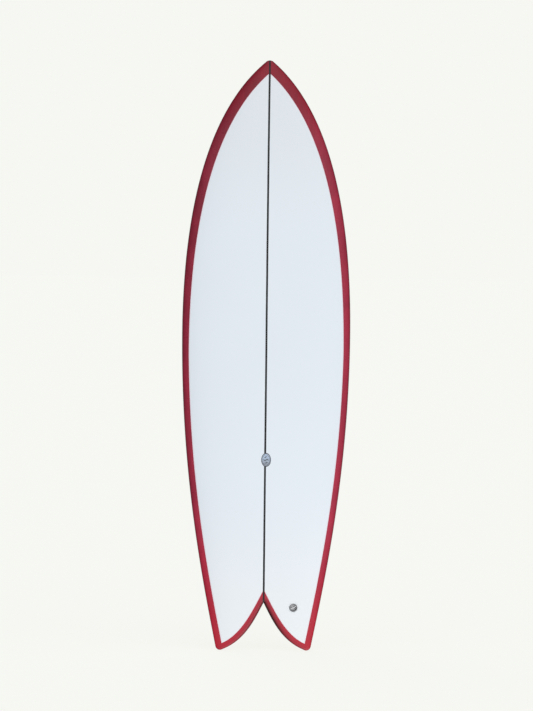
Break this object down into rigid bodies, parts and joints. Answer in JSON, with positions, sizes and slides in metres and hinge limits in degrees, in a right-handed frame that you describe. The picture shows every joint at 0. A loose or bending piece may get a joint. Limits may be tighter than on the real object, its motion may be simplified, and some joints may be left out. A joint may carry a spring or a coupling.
{
  "type": "twin-keel fish surfboard",
  "caption": "Swallow-tailed fish surfboard with a stringered foam blank, glass skins, leash plug and removable keel fins.",
  "frame": {"origin": "middle of the flat patch at the middle of the bottom, on the outer face of the bottom skin", "axes": "+Z from the tail to the nose, +Y out of the bottom on the side of the fins, -Y out of the deck, +X to the side of the leash plug"},
  "size_m": [0.5366, 0.2209, 1.88],
  "materials": {
    "foam": "matte",
    "stringer_wood": "matte",
    "clear_glass": "gloss",
    "red_glass": "gloss",
    "decal_print": "satin",
    "resin": "gloss",
    "grey_plastic": "satin",
    "white_plastic": "satin",
    "steel": "satin",
    "fin_glass": "gloss"
  },
  "bodies": {
    "board": {"foam_blank_left": "foam", "foam_blank_right": "foam", "stringer": "stringer_wood", "deck_laminate": "clear_glass", "bottom_laminate": "red_glass", "deck_decal": "decal_print", "leash_plug_bed": "resin", "leash_plug_cup": "grey_plastic", "leash_plug_bar": "steel", "fin_plug_bed_left_front": "resin", "fin_plug_bed_left_rear": "resin", "fin_plug_bed_right_front": "resin", "fin_plug_bed_right_rear": "resin", "fin_plug_left_front": "white_plastic", "fin_plug_left_rear": "white_plastic", "fin_plug_right_front": "white_plastic", "fin_plug_right_rear": "white_plastic"},
    "left_keel": {"fin_left": "fin_glass"},
    "right_keel": {"fin_right": "fin_glass"},
    "left_front_screw": {"fin_screw_left_front": "steel"},
    "left_rear_screw": {"fin_screw_left_rear": "steel"},
    "right_front_screw": {"fin_screw_right_front": "steel"},
    "right_rear_screw": {"fin_screw_right_rear": "steel"}
  },
  "joints": [
    {"name": "left_keel_slide", "type": "slide", "parent": "board", "child": "left_keel", "axis": [-0.0103, 0.9973, -0.0732], "range_m": [0, 0.016]},
    {"name": "right_keel_slide", "type": "slide", "parent": "board", "child": "right_keel", "axis": [0.0103, 0.9973, -0.0732], "range_m": [0, 0.016]},
    {"name": "left_front_screw_turn", "type": "hinge", "parent": "board", "child": "left_front_screw", "pos_m": [-0.14953, -0.02352, -0.64503], "axis": [0.5647, 0.8214, -0.0803], "range_deg": [0, 720]},
    {"name": "left_rear_screw_turn", "type": "hinge", "parent": "board", "child": "left_rear_screw", "pos_m": [-0.15169, -0.02807, -0.70683], "axis": [0.5647, 0.8214, -0.0803], "range_deg": [0, 720]},
    {"name": "right_front_screw_turn", "type": "hinge", "parent": "board", "child": "right_front_screw", "pos_m": [0.14953, -0.02352, -0.64503], "axis": [-0.5647, 0.8214, -0.0803], "range_deg": [0, 720]},
    {"name": "right_rear_screw_turn", "type": "hinge", "parent": "board", "child": "right_rear_screw", "pos_m": [0.15169, -0.02807, -0.70683], "axis": [-0.5647, 0.8214, -0.0803], "range_deg": [0, 720]}
  ]
}
